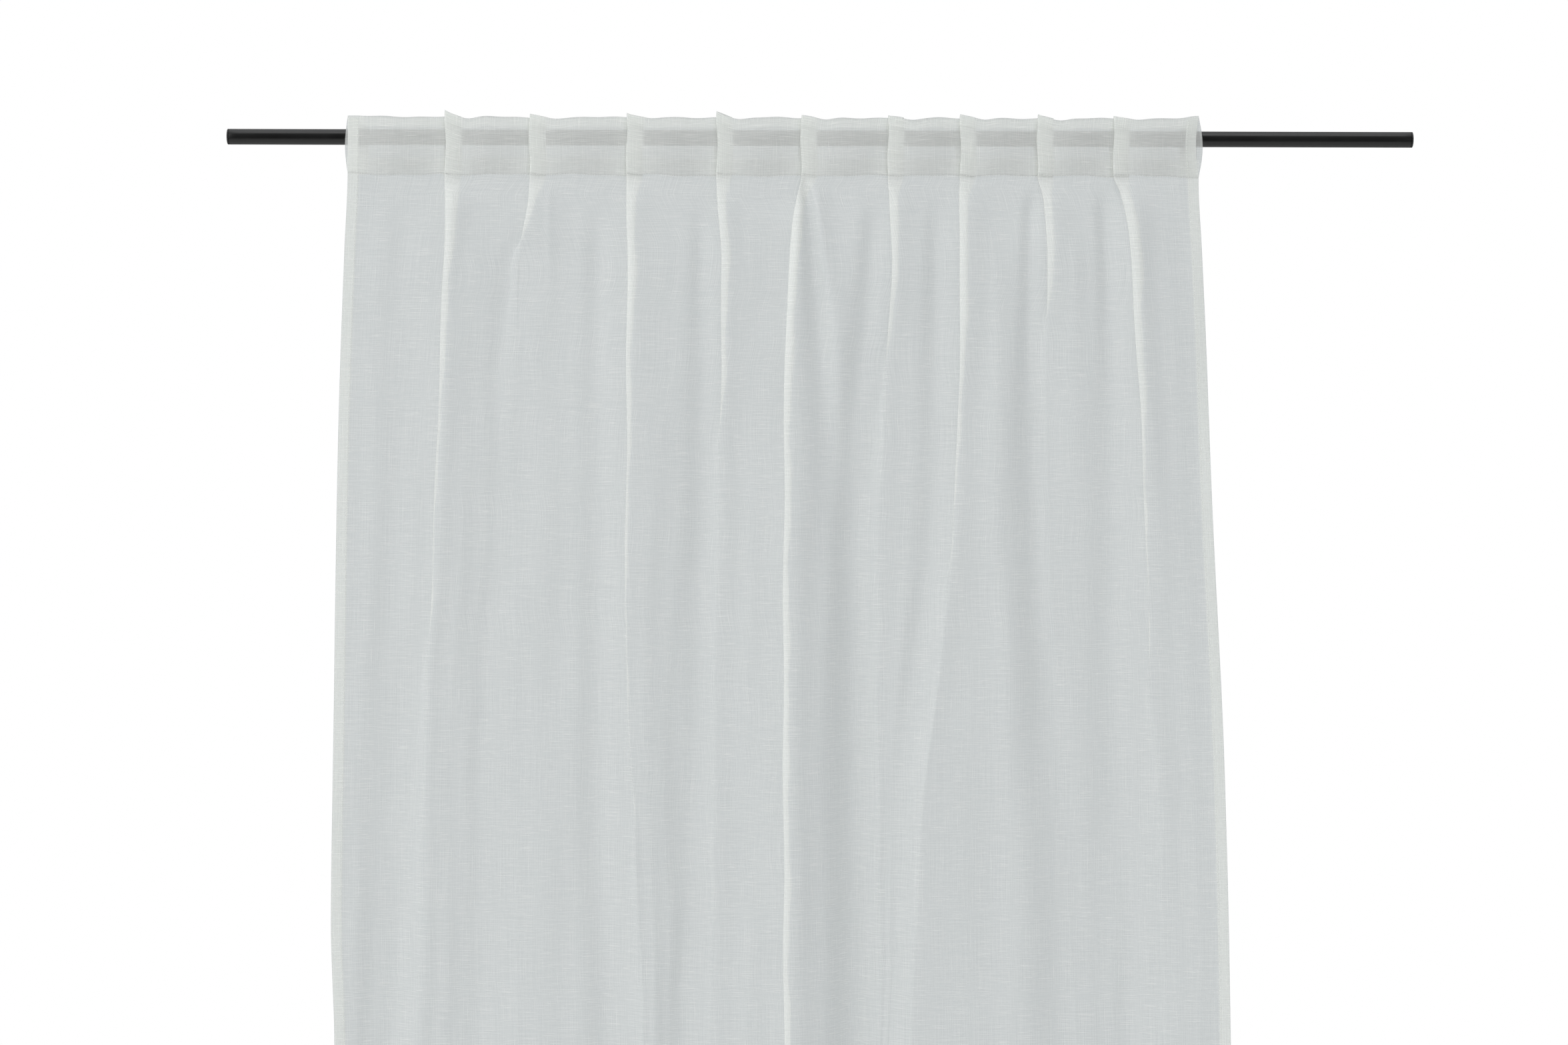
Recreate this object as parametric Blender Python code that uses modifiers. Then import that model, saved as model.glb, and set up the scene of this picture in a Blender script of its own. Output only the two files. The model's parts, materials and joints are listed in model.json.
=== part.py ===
"""A sheer linen-look curtain hung by hidden back tabs on a round steel rod.

X runs along the rod, whose axis passes through the origin at the rod's middle. The room is at -Y and the
window at +Y, so the cloth hangs on the -Y side of the rod. Tabs sewn to the back of the heading pass over
and behind the rod. The cloth is one panel on the real curtain: here it is ten sections that slide along
the rod, one for each run from a pleat's folded edge to the tuck under the next pleat.
"""

import math

import bmesh
import bpy

# Rod, in metres like every size here
ROD_LENGTH = 1.525
ROD_DIAMETER = 0.020
ROD_WALL = 0.0012
ROD_STEPS = 48
PLUG_HEAD = 0.002
PLUG_SPIGOT = 0.018
PLUG_CHAMFER = 0.0004

# Curtain: where its left edge is on the rod, and each section's width from folded edge to folded edge
CURTAIN_LEFT = -0.605
SECTION_WIDTHS = (0.124, 0.109, 0.124, 0.115, 0.109, 0.111, 0.092, 0.100, 0.097, 0.111)
CURTAIN_DROP = 2.400
LEFT_FLARE = 0.024
RIGHT_FLARE = 0.060
FLARE_POWER = 0.65

# Heading, pleats and hems
HEADING_RISE = 0.013
HEADING_DEPTH = 0.073
PLEAT_TUCK = 0.020
SIDE_HEM = 0.014
BOTTOM_HEM = 0.080

# How far a section turns forward for each metre along the rod, and how far its panel bows forward
HEADING_LEAN = 0.12
PANEL_LEAN = 0.22
PANEL_BOW = 0.005
LEAN_SETTLES = 0.350

# Hidden tabs
TAB_WIDTH = 0.022
TAB_INSET = 0.002
TAB_LAP = 0.007
TAB_ARC_STEPS = 12

# Thickness of each solid, and the gap between pieces that touch
HEADING_THICKNESS = 0.0014
PANEL_THICKNESS = 0.0010
HEM_THICKNESS = 0.0018
TAB_THICKNESS = 0.0010
GAP = 0.0003

# Mesh density of a section's solids
SECTION_COLUMNS = 6
PANEL_ROWS = 10
HEM_COLUMNS = 1

# Worked out from the sizes above
ROD_RADIUS = ROD_DIAMETER / 2
TOP_Z = ROD_RADIUS + HEADING_RISE
SEAM_Z = TOP_Z - HEADING_DEPTH
HEM_Z = TOP_Z - CURTAIN_DROP + BOTTOM_HEM
BOTTOM_Z = TOP_Z - CURTAIN_DROP
HEADING_Y = -(ROD_RADIUS + GAP + HEADING_THICKNESS / 2)
CURTAIN_WIDTH = sum(SECTION_WIDTHS)
SECTION_COUNT = len(SECTION_WIDTHS)
SECTION_LEFTS = [CURTAIN_LEFT + sum(SECTION_WIDTHS[:i]) for i in range(SECTION_COUNT)]
SECTION_RIGHTS = [x + PLEAT_TUCK for x in SECTION_LEFTS[1:]] + [CURTAIN_LEFT + CURTAIN_WIDTH]
TAB_SETBACK = TAB_INSET + TAB_WIDTH / 2


def clear_scene():
    for obj in list(bpy.data.objects):
        bpy.data.objects.remove(obj)


def make_collection(name):
    collection = bpy.data.collections.new(name)
    bpy.context.scene.collection.children.link(collection)
    return collection


def make_material(name, colour, roughness, metallic=0.0):
    material = bpy.data.materials.new(name)
    material.use_nodes = True
    shader = material.node_tree.nodes["Principled BSDF"]
    shader.inputs["Base Color"].default_value = (*colour, 1.0)
    shader.inputs["Roughness"].default_value = roughness
    shader.inputs["Metallic"].default_value = metallic
    return material


def add_object(name, mesh, material, parent):
    """Puts a mesh in the collection under its slide. The mesh's points are in the parent's space."""
    obj = bpy.data.objects.new(name, mesh)
    mesh.materials.append(material)
    COLLECTION.objects.link(obj)
    obj.parent = parent
    return obj


def add_slide(name, x):
    """An empty on the rod's axis, which carries what slides together."""
    slide = bpy.data.objects.new(name, None)
    COLLECTION.objects.link(slide)
    slide.location = (x, 0, 0)
    return slide


def turned_about_x(name, profile, closed, material, parent):
    """Turns a profile of (x, radius) points about the rod's axis."""
    bm = bmesh.new()
    points = [bm.verts.new((x, 0, radius)) for x, radius in profile]
    pairs = list(zip(points, points[1:]))
    if closed:
        pairs.append((points[-1], points[0]))
    for pair in pairs:
        bm.edges.new(pair)
    mesh = bpy.data.meshes.new(name)
    bm.to_mesh(mesh)
    bm.free()
    obj = add_object(name, mesh, material, parent)
    screw = obj.modifiers.new("Turn", "SCREW")
    screw.axis = "X"
    screw.steps = ROD_STEPS
    screw.render_steps = ROD_STEPS
    screw.use_merge_vertices = True
    screw.merge_threshold = 0.00005
    screw.use_smooth_shade = True
    return obj


def make_rod(slide):
    half = ROD_LENGTH / 2 - PLUG_HEAD - GAP
    bore = ROD_RADIUS - ROD_WALL
    ring = [(-half, ROD_RADIUS), (-half, bore), (half, bore), (half, ROD_RADIUS)]
    turned_about_x("rod_tube", ring, True, STEEL, slide)


def make_plug(name, side, slide):
    """A push-in plug. side is -1 at the rod's left end and 1 at its right end."""
    end = ROD_LENGTH / 2
    head = end - PLUG_HEAD
    spigot = ROD_RADIUS - ROD_WALL - GAP
    profile = [
        (side * (head - PLUG_SPIGOT), 0),
        (side * (head - PLUG_SPIGOT), spigot - PLUG_CHAMFER),
        (side * (head - PLUG_SPIGOT + PLUG_CHAMFER), spigot),
        (side * head, spigot),
        (side * head, ROD_RADIUS),
        (side * (end - PLUG_CHAMFER), ROD_RADIUS),
        (side * end, ROD_RADIUS - PLUG_CHAMFER),
        (side * end, 0),
    ]
    # The profile always runs from right to left, so that the turned faces point outwards.
    if side > 0:
        profile.reverse()
    turned_about_x(name, profile, False, PLASTIC, slide)


def below_seam(z):
    """0 at the heading's seam and above it, 1 at the bottom edge."""
    return max(0.0, (SEAM_Z - z) / (SEAM_Z - BOTTOM_Z))


def settled(z):
    """0 at the heading, rising smoothly to 1 where the folds have reached their full depth."""
    share = min(1.0, max(0.0, (SEAM_Z - z) / LEAN_SETTLES))
    return share * share * (3 - 2 * share)


def flared(x, z):
    """x on the rod, moved outwards as the curtain widens below its heading."""
    flare = below_seam(z) ** FLARE_POWER
    share = (x - CURTAIN_LEFT) / CURTAIN_WIDTH
    return x - LEFT_FLARE * flare * (1 - share) + RIGHT_FLARE * flare * share


def cloth_y(section, x, z):
    """The middle of a section's cloth: nearest the rod at its right end, furthest forward at its left."""
    lean = HEADING_LEAN + (PANEL_LEAN - HEADING_LEAN) * settled(z)
    back = SECTION_RIGHTS[section] - x
    share = back / (SECTION_RIGHTS[section] - SECTION_LEFTS[section])
    return HEADING_Y - lean * back - PANEL_BOW * settled(z) * math.sin(math.pi * share)


def tab_x(section):
    return SECTION_RIGHTS[section] - TAB_SETBACK


def surface(name, columns, rows, place, thickness, material, slide):
    """A grid whose points place(across, down) puts in the world, thickened both ways into a solid."""
    bm = bmesh.new()
    bmesh.ops.create_grid(bm, x_segments=columns, y_segments=rows, size=0.5)
    for vert in bm.verts:
        x, y, z = place(vert.co.x + 0.5, 0.5 - vert.co.y)
        vert.co = (x - slide.location.x, y, z)
    mesh = bpy.data.meshes.new(name)
    bm.to_mesh(mesh)
    bm.free()
    obj = add_object(name, mesh, material, slide)
    wall = obj.modifiers.new("Thickness", "SOLIDIFY")
    wall.thickness = thickness
    wall.offset = 0
    return obj


def cloth_piece(name, section, x_from, x_to, z_from, z_to, columns, rows, thickness, slide):
    """The part of a section between two places along the rod and two heights."""

    def place(across, down):
        x = x_from + (x_to - x_from) * across
        z = z_from + (z_to - z_from) * down
        return flared(x, z), cloth_y(section, x, z), z

    return surface(name, columns, rows, place, thickness, LINEN, slide)


def heading_back(section, x):
    """The back face of a section's heading."""
    return cloth_y(section, x, TOP_Z) + HEADING_THICKNESS / 2 * math.hypot(1, HEADING_LEAN)


def tab_path(lap_y):
    """(y, z) points of a tab's middle: sewn above the rod, over it, down its back, sewn at the seam."""
    radius = ROD_RADIUS + GAP + TAB_THICKNESS / 2
    low_z = SEAM_Z + GAP + TAB_LAP
    reach = math.hypot(lap_y, low_z)
    leaves = math.atan2(low_z, lap_y) + math.acos(radius / reach)
    turns = [math.pi / 2 + (leaves - math.pi / 2) * i / TAB_ARC_STEPS for i in range(TAB_ARC_STEPS + 1)]
    arc = [(radius * math.cos(turn), radius * math.sin(turn)) for turn in turns]
    above = [(lap_y, radius + TAB_LAP), (lap_y, radius)]
    below = [(lap_y, low_z), (lap_y, SEAM_Z + GAP)]
    return above + arc + below


def make_tab(name, section, middle, slide):
    """A cloth loop behind the rod, whose two ends lie flat on the back of the heading."""
    rows = len(tab_path(HEADING_Y)) - 1

    def place(across, down):
        x = middle + TAB_WIDTH * (across - 0.5)
        lap_y = heading_back(section, x) + GAP + TAB_THICKNESS / 2
        y, z = tab_path(lap_y)[round(down * rows)]
        return x, y, z

    surface(name, HEM_COLUMNS, rows, place, TAB_THICKNESS, LINEN, slide)


def make_section(section):
    """A section's heading, panel and bottom hem, its side hem if it has one, and its tab."""
    number = f"{section + 1:02d}"
    slide = add_slide(f"section_{number}", tab_x(section))
    left = SECTION_LEFTS[section]
    right = SECTION_RIGHTS[section]
    cloth_piece(f"heading_{number}", section, left, right, TOP_Z, SEAM_Z,
                SECTION_COLUMNS, 1, HEADING_THICKNESS, slide)
    panel_left, panel_right = left, right
    if section == 0:
        panel_left = left + SIDE_HEM + GAP
        cloth_piece("side_hem_left", section, left, left + SIDE_HEM, SEAM_Z - GAP, HEM_Z,
                    HEM_COLUMNS, PANEL_ROWS, HEM_THICKNESS, slide)
    if section == SECTION_COUNT - 1:
        panel_right = right - SIDE_HEM - GAP
        cloth_piece("side_hem_right", section, right - SIDE_HEM, right, SEAM_Z - GAP, HEM_Z,
                    HEM_COLUMNS, PANEL_ROWS, HEM_THICKNESS, slide)
    cloth_piece(f"panel_{number}", section, panel_left, panel_right, SEAM_Z - GAP, HEM_Z,
                SECTION_COLUMNS, PANEL_ROWS, PANEL_THICKNESS, slide)
    cloth_piece(f"bottom_hem_{number}", section, left, right, HEM_Z - GAP, BOTTOM_Z,
                SECTION_COLUMNS, 1, HEM_THICKNESS, slide)
    make_tab(f"hidden_tab_{section + 2:02d}", section, tab_x(section), slide)
    if section == 0:
        make_tab("hidden_tab_01", section, left + TAB_SETBACK, slide)


clear_scene()
COLLECTION = make_collection("curtain_on_rod")
STEEL = make_material("powder-coated steel", (0.011, 0.011, 0.011), 0.45, 0.0)
PLASTIC = make_material("black polypropylene", (0.013, 0.013, 0.013), 0.55)
LINEN = make_material("sheer linen-look voile", (0.66, 0.69, 0.68), 0.9)

rod_holder = add_slide("rod", 0)
make_rod(rod_holder)
make_plug("rod_end_plug_left", -1, rod_holder)
make_plug("rod_end_plug_right", 1, rod_holder)
for section_number in range(SECTION_COUNT):
    make_section(section_number)
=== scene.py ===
"""A sheer slub-voile curtain on a matt black rod: its cloth, hems, tabs, stitching, finishes and studio.

One length of voile is modelled as one continuous surface, in pleats that are pinned at hidden back tabs.
It is cut into strips from tab to tab, because the tabs slide along the rod and the cloth between two of
them folds up. X runs along the rod, the room is at -Y, the window at +Y, and every size is in metres.
"""

import json
import math

import bmesh
import bpy
import numpy as np
from bpy.props import FloatProperty, FloatVectorProperty, IntProperty, PointerProperty
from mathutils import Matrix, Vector

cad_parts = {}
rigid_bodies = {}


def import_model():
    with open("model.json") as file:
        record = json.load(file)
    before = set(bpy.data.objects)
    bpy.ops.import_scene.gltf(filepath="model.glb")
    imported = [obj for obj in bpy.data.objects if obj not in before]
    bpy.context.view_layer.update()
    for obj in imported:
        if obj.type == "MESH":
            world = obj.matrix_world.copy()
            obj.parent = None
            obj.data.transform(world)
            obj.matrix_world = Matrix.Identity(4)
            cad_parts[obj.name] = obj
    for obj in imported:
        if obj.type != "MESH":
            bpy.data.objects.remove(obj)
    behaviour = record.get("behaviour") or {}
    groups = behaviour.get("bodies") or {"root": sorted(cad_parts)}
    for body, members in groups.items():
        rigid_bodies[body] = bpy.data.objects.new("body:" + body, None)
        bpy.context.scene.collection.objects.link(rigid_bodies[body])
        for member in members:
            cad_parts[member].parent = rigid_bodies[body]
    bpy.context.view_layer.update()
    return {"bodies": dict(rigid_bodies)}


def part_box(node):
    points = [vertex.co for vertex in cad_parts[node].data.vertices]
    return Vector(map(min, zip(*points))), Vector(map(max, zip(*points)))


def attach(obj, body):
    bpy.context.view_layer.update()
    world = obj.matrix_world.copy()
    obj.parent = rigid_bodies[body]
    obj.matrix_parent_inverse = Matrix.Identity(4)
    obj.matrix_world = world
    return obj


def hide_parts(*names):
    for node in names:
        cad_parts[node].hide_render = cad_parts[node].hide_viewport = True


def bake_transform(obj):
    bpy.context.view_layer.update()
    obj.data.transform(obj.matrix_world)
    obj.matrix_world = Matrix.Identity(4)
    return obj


bl_info = {
    "name": "Sheer curtain on a rod",
    "version": (1, 0, 0),
    "blender": (4, 5, 0),
    "location": "3D View > Sidebar > Curtain",
    "description": "Makes a slub-voile curtain with back tabs on a powder-coated rod",
    "category": "Object",
}

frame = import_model()

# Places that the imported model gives
SECTION_COUNT = len([body for body in frame["bodies"] if body.startswith("section_")])
HEADINGS = [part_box(f"heading_{number:02d}") for number in range(1, SECTION_COUNT + 1)]
TABS = [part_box(f"hidden_tab_{number:02d}") for number in range(1, SECTION_COUNT + 2)]
TAB_X = [(low.x + high.x) / 2 for low, high in TABS]
TAB_WIDTH = TABS[0][1].x - TABS[0][0].x
FOLD_X = [low.x for low, high in HEADINGS]
RIGHT_X = HEADINGS[-1][1].x
TUCK = HEADINGS[0][1].x - HEADINGS[1][0].x
TOP_Z = HEADINGS[0][1].z
SEAM_Z = HEADINGS[0][0].z
HEM_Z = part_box("bottom_hem_01")[1].z
BOTTOM_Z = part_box("bottom_hem_01")[0].z
ROD_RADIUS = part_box("rod_tube")[1].z
FULL_DROP = SEAM_Z - BOTTOM_Z
PANEL_DROP = SEAM_Z - HEM_Z

# Cloth layers in the heading, as y. Each pleat is a flat Z: the section's end, the turned layer, the front.
LAYER_BACK = -0.0130
LAYER_TURNED = -0.0155
LAYER_FRONT = -0.0225
TURN_DEPTH = LAYER_BACK - LAYER_TURNED

# Sewing: the side hems' width, the stay's depth, and how much of the raw edge is turned in
SIDE_HEM = 0.014
STAY_DEPTH = 0.012
TURN_IN = 0.022

# Room between two plies: where they are sewn, where the pleats press them, and inside the hem.
# POCKET_GAP is how much more than PLY_GAP there is between pleats.
SEAM_GAP = 0.0005
PLY_GAP = 0.0012
HEM_GAP = 0.0016
POCKET_GAP = 0.0016

# How far the heading's face bellies out over the rod between pleats, and how much a ridge rolls, as a
# share of the cloth tucked behind it
BELLY = 0.0050
ROLL_SHARE = 0.42

# The depth about which the folds grow deeper lower down
MIDDLE_Y = -0.018

# The rod's tube wall, and the thickness of a plug's head
ROD_WALL = 0.0012
PLUG_HEAD = 0.002

# The step at which the cloth's path is worked out, the width of cloth over which mesh columns are
# counted, and how many of them the stay has in it
SAMPLE = 0.0005
COLUMN_SPAN = 0.150
STAY_COLUMNS = 60

# What stands behind the cloth, as linear colour: the surroundings seen through it
SEEN_THROUGH = (0.433, 0.466, 0.483, 1.0)

# Each pleat from the heading down. Stations hold the drop below the seam, the ridge's x, how far the fold
# is still tucked behind the ridge (below zero the fold has opened that far), the ridge's y, the valley's y.
FOLDS = (
    ((0.05, -0.480, 0.015, -0.025, -0.014), (0.15, -0.483, 0.010, -0.027, -0.018),
     (0.35, -0.490, 0.005, -0.027, -0.020), (0.55, -0.497, 0.002, -0.026, -0.020),
     (0.75, -0.505, -0.015, -0.025, -0.018), (1.20, -0.515, -0.028, -0.026, -0.013),
     (FULL_DROP, -0.525, -0.030, -0.034, -0.002)),
    ((0.03, -0.3735, 0.010, -0.024, -0.014), (0.07, -0.380, 0.004, -0.024, -0.016),
     (0.11, -0.385, -0.006, -0.0205, -0.0185), (0.16, -0.387, -0.012, -0.0190, -0.0185),
     (0.30, -0.390, -0.020, -0.0187, -0.0183), (1.10, -0.386, -0.050, -0.022, -0.017),
     (FULL_DROP, -0.400, -0.045, -0.034, -0.002)),
    ((0.03, -0.248, 0.013, -0.025, -0.014), (0.13, -0.2465, 0.011, -0.029, -0.022),
     (0.35, -0.247, 0.008, -0.031, -0.024), (0.55, -0.248, 0.004, -0.031, -0.024),
     (0.80, -0.237, 0.000, -0.030, -0.023), (1.10, -0.224, -0.014, -0.029, -0.020),
     (FULL_DROP, -0.205, -0.026, -0.036, 0.000)),
    ((0.03, -0.132, 0.012, -0.024, -0.014), (0.12, -0.1255, 0.011, -0.027, -0.019),
     (0.25, -0.1265, 0.008, -0.027, -0.019), (0.38, -0.129, -0.008, -0.022, -0.018),
     (0.60, -0.133, -0.026, -0.020, -0.017), (1.10, -0.137, -0.034, -0.020, -0.016),
     (FULL_DROP, -0.140, -0.032, -0.034, 0.000)),
    ((0.03, -0.030, 0.012, -0.025, -0.014), (0.06, -0.035, 0.013, -0.029, -0.020),
     (0.25, -0.045, 0.013, -0.036, -0.027), (0.60, -0.046, 0.012, -0.037, -0.028),
     (1.11, -0.044, 0.012, -0.037, -0.027), (FULL_DROP, -0.045, -0.004, -0.040, -0.006)),
    ((0.03, 0.0885, 0.012, -0.024, -0.014), (0.12, 0.0915, 0.010, -0.027, -0.019),
     (0.22, 0.087, 0.002, -0.026, -0.019), (0.36, 0.079, -0.012, -0.023, -0.016),
     (0.50, 0.074, -0.022, -0.019, -0.012), (0.80, 0.076, -0.026, -0.016, -0.009),
     (1.10, 0.080, -0.028, -0.015, -0.008), (FULL_DROP, 0.060, -0.034, -0.024, 0.004)),
    ((0.03, 0.178, 0.012, -0.025, -0.014), (0.12, 0.1795, 0.012, -0.029, -0.021),
     (0.33, 0.176, 0.007, -0.031, -0.023), (0.45, 0.170, 0.004, -0.031, -0.022),
     (0.60, 0.158, -0.010, -0.030, -0.021), (0.80, 0.133, -0.014, -0.030, -0.021),
     (1.10, 0.119, -0.018, -0.030, -0.019), (FULL_DROP, 0.105, -0.030, -0.036, -0.004)),
    ((0.03, 0.286, 0.012, -0.025, -0.014), (0.10, 0.291, 0.010, -0.028, -0.020),
     (0.17, 0.290, 0.002, -0.026, -0.019), (0.30, 0.290, -0.010, -0.023, -0.018),
     (0.60, 0.302, -0.018, -0.019, -0.016), (1.10, 0.330, -0.024, -0.018, -0.014),
     (FULL_DROP, 0.360, -0.030, -0.034, -0.002)),
    ((0.02, 0.384, 0.014, -0.025, -0.014), (0.07, 0.394, 0.015, -0.030, -0.021),
     (0.25, 0.406, 0.012, -0.034, -0.026), (0.44, 0.416, 0.006, -0.033, -0.026),
     (0.60, 0.422, 0.002, -0.030, -0.023), (0.85, 0.437, -0.022, -0.026, -0.018),
     (1.10, 0.445, -0.040, -0.024, -0.014), (FULL_DROP, 0.475, -0.040, -0.036, 0.000)),
)

# The two side edges: the drop below the seam, x and y.
LEFT_EDGE = ((0.00, -0.605, -0.0225), (0.10, -0.609, -0.023), (0.37, -0.617, -0.022),
             (0.77, -0.622, -0.021), (0.96, -0.624, -0.021), (1.12, -0.619, -0.021),
             (1.60, -0.624, -0.020), (FULL_DROP, -0.629, -0.022))
RIGHT_EDGE = ((0.00, 0.486, -0.0135), (0.10, 0.490, -0.019), (0.22, 0.495, -0.025),
              (0.37, 0.500, -0.030), (0.77, 0.519, -0.031), (1.12, 0.528, -0.029),
              (FULL_DROP, 0.547, -0.024))

# Soft swells and hollows between the pleats: the drop, x, how far it stands forward (below zero: hollow),
# and how wide it is on its left and on its right.
SWELLS = (
    ((0.00, -0.530, 0.000, 0.020, 0.025), (0.10, -0.532, -0.003, 0.022, 0.024),
     (0.60, -0.548, -0.005, 0.024, 0.028), (1.10, -0.562, -0.007, 0.026, 0.034),
     (FULL_DROP, -0.575, -0.012, 0.030, 0.035)),
    ((0.00, -0.347, 0.000, 0.004, 0.006), (0.05, -0.347, 0.0015, 0.004, 0.006),
     (0.12, -0.346, 0.0012, 0.005, 0.008), (0.20, -0.346, 0.000, 0.006, 0.010)),
    ((0.02, -0.288, 0.000, 0.012, 0.014), (0.10, -0.286, -0.005, 0.012, 0.015),
     (0.35, -0.286, -0.008, 0.013, 0.017), (0.80, -0.284, -0.010, 0.015, 0.020),
     (1.10, -0.272, -0.010, 0.017, 0.022), (FULL_DROP, -0.255, -0.006, 0.020, 0.024)),
    ((0.02, -0.154, 0.000, 0.010, 0.012), (0.10, -0.153, -0.005, 0.010, 0.012),
     (0.30, -0.152, -0.006, 0.011, 0.013), (0.55, -0.152, -0.004, 0.013, 0.015),
     (0.90, -0.160, -0.002, 0.016, 0.018), (FULL_DROP, -0.180, 0.000, 0.020, 0.020)),
    ((0.00, -0.020, 0.000, 0.005, 0.004), (0.02, -0.017, -0.007, 0.007, 0.005),
     (0.05, -0.013, -0.012, 0.009, 0.006), (0.15, -0.004, -0.014, 0.013, 0.009),
     (0.28, 0.007, -0.010, 0.016, 0.012), (0.42, 0.016, -0.004, 0.018, 0.014),
     (0.55, 0.024, 0.000, 0.018, 0.014)),
    ((0.00, -0.012, 0.000, 0.004, 0.010), (0.03, -0.003, 0.003, 0.006, 0.012),
     (0.08, 0.002, 0.004, 0.008, 0.016), (0.20, 0.018, 0.003, 0.010, 0.018),
     (0.35, 0.030, 0.000, 0.010, 0.022)),
    ((0.02, 0.067, 0.000, 0.010, 0.013), (0.08, 0.066, -0.006, 0.012, 0.014),
     (0.17, 0.060, -0.008, 0.014, 0.016), (0.32, 0.043, -0.010, 0.014, 0.020),
     (0.50, 0.037, -0.014, 0.015, 0.024), (0.80, 0.037, -0.017, 0.016, 0.026),
     (1.10, 0.040, -0.018, 0.018, 0.028), (FULL_DROP, 0.030, -0.008, 0.022, 0.028)),
    ((0.02, 0.148, 0.000, 0.012, 0.014), (0.08, 0.148, -0.006, 0.012, 0.014),
     (0.33, 0.146, -0.008, 0.013, 0.016), (0.50, 0.138, -0.006, 0.014, 0.018),
     (0.80, 0.104, -0.003, 0.014, 0.018), (1.10, 0.094, -0.002, 0.014, 0.018),
     (FULL_DROP, 0.080, 0.000, 0.020, 0.020)),
    ((0.05, 0.226, 0.000, 0.010, 0.022), (0.15, 0.228, 0.003, 0.009, 0.020),
     (0.30, 0.227, 0.007, 0.010, 0.022), (0.46, 0.228, 0.009, 0.012, 0.026),
     (0.60, 0.238, 0.009, 0.015, 0.030), (0.85, 0.260, 0.008, 0.022, 0.036),
     (1.10, 0.272, 0.008, 0.030, 0.040), (FULL_DROP, 0.285, 0.012, 0.034, 0.040)),
    ((0.01, 0.272, 0.000, 0.008, 0.008), (0.05, 0.270, -0.006, 0.009, 0.009),
     (0.20, 0.267, -0.008, 0.010, 0.010), (0.36, 0.266, -0.006, 0.012, 0.012),
     (0.55, 0.272, -0.002, 0.016, 0.014), (0.80, 0.290, 0.000, 0.020, 0.018)),
    ((0.05, 0.3275, 0.000, 0.010, 0.016), (0.12, 0.3275, 0.003, 0.009, 0.012),
     (0.30, 0.3275, 0.003, 0.010, 0.013), (0.42, 0.328, 0.000, 0.012, 0.016)),
    ((0.01, 0.362, 0.000, 0.010, 0.012), (0.06, 0.365, -0.009, 0.010, 0.014),
     (0.30, 0.372, -0.011, 0.012, 0.018), (0.60, 0.374, -0.011, 0.014, 0.022),
     (0.85, 0.380, -0.005, 0.018, 0.024), (1.10, 0.385, -0.002, 0.020, 0.024),
     (FULL_DROP, 0.420, 0.000, 0.020, 0.020)),
)

# How far each pleat's folded edge stands above the heading's top edge
PLEAT_PEAKS = (0.0085, 0.0035, 0.0055, 0.0075, 0.0025, 0.0035, 0.0045, 0.0040, 0.0035)


# ---------------------------------------------------------------- sizes and colours


class ClothSettings(bpy.types.PropertyGroup):
    """Sizes and colours of the voile."""

    panel_row: FloatProperty(name="Panel row", description="Height of a mesh row down the panel",
                             default=0.009, min=0.003, unit="LENGTH")
    heading_row: FloatProperty(name="Heading row", description="Height of a mesh row in the heading",
                               default=0.003, min=0.001, unit="LENGTH")
    columns: IntProperty(name="Columns", description="Mesh columns over 150 mm of cloth", default=84, min=20)
    thread_pitch: FloatProperty(name="Thread pitch", description="From one thread to the next",
                                default=0.0009, min=0.0002, unit="LENGTH", precision=5)
    opacity: FloatProperty(name="Opacity", description="Share of what is behind that one ply hides",
                           default=0.48, min=0.0, max=1.0, subtype="FACTOR")
    colour: FloatVectorProperty(name="Voile", description="Off-white polyester, as linear colour",
                                default=(0.88, 0.90, 0.872), min=0.0, max=1.0, subtype="COLOR")


class StitchSettings(bpy.types.PropertyGroup):
    """Sizes of the lock stitching."""

    length: FloatProperty(name="Stitch", description="Length of the thread that shows",
                          default=0.0024, min=0.0005, unit="LENGTH", precision=4)
    pitch: FloatProperty(name="Pitch", description="From one stitch to the next",
                         default=0.0032, min=0.001, unit="LENGTH", precision=4)
    thread: FloatProperty(name="Thread", description="Radius of the sewing thread",
                          default=0.00018, min=0.00005, unit="LENGTH", precision=5)


class RodSettings(bpy.types.PropertyGroup):
    """Shape of the rod's tube and plugs."""

    steps: IntProperty(name="Steps", description="Facets round the rod", default=96, min=16)
    edge: FloatProperty(name="Edge", description="Rounding at the cut ends", default=0.0003, unit="LENGTH",
                        precision=5)


class StageSettings(bpy.types.PropertyGroup):
    """The studio's camera and lights."""

    distance: FloatProperty(name="Camera distance", description="From the rod to the camera", default=4.0,
                            min=1.0, unit="LENGTH")
    view_width: FloatProperty(name="View width", description="Width that the camera sees at the rod",
                              default=2.019, min=0.1, unit="LENGTH")
    key_power: FloatProperty(name="Key light", description="Power of the large light on the left",
                             default=16.0, min=0.0, unit="POWER")
    fill_power: FloatProperty(name="Fill light", description="Power of the light on the right",
                              default=4.0, min=0.0, unit="POWER")
    top_power: FloatProperty(name="Top light", description="Power of the light above the rod",
                             default=9.0, min=0.0, unit="POWER")


# ---------------------------------------------------------------- small tools


def linear(hex_colour):
    """An sRGB hex colour such as "C8CCCA" as linear RGBA."""
    channels = [int(hex_colour[i : i + 2], 16) / 255 for i in (0, 2, 4)]
    return (*[c / 12.92 if c <= 0.04045 else ((c + 0.055) / 1.055) ** 2.4 for c in channels], 1.0)


def add_node(tree, kind, inputs=None, **settings):
    """Adds a node. inputs maps a socket's name or number to a value, or to the output that feeds it."""
    node = tree.nodes.new(kind)
    for name, value in settings.items():
        setattr(node, name, value)
    for socket, value in (inputs or {}).items():
        if isinstance(value, bpy.types.NodeSocket):
            tree.links.new(value, node.inputs[socket])
        else:
            node.inputs[socket].default_value = value
    return node


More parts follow.
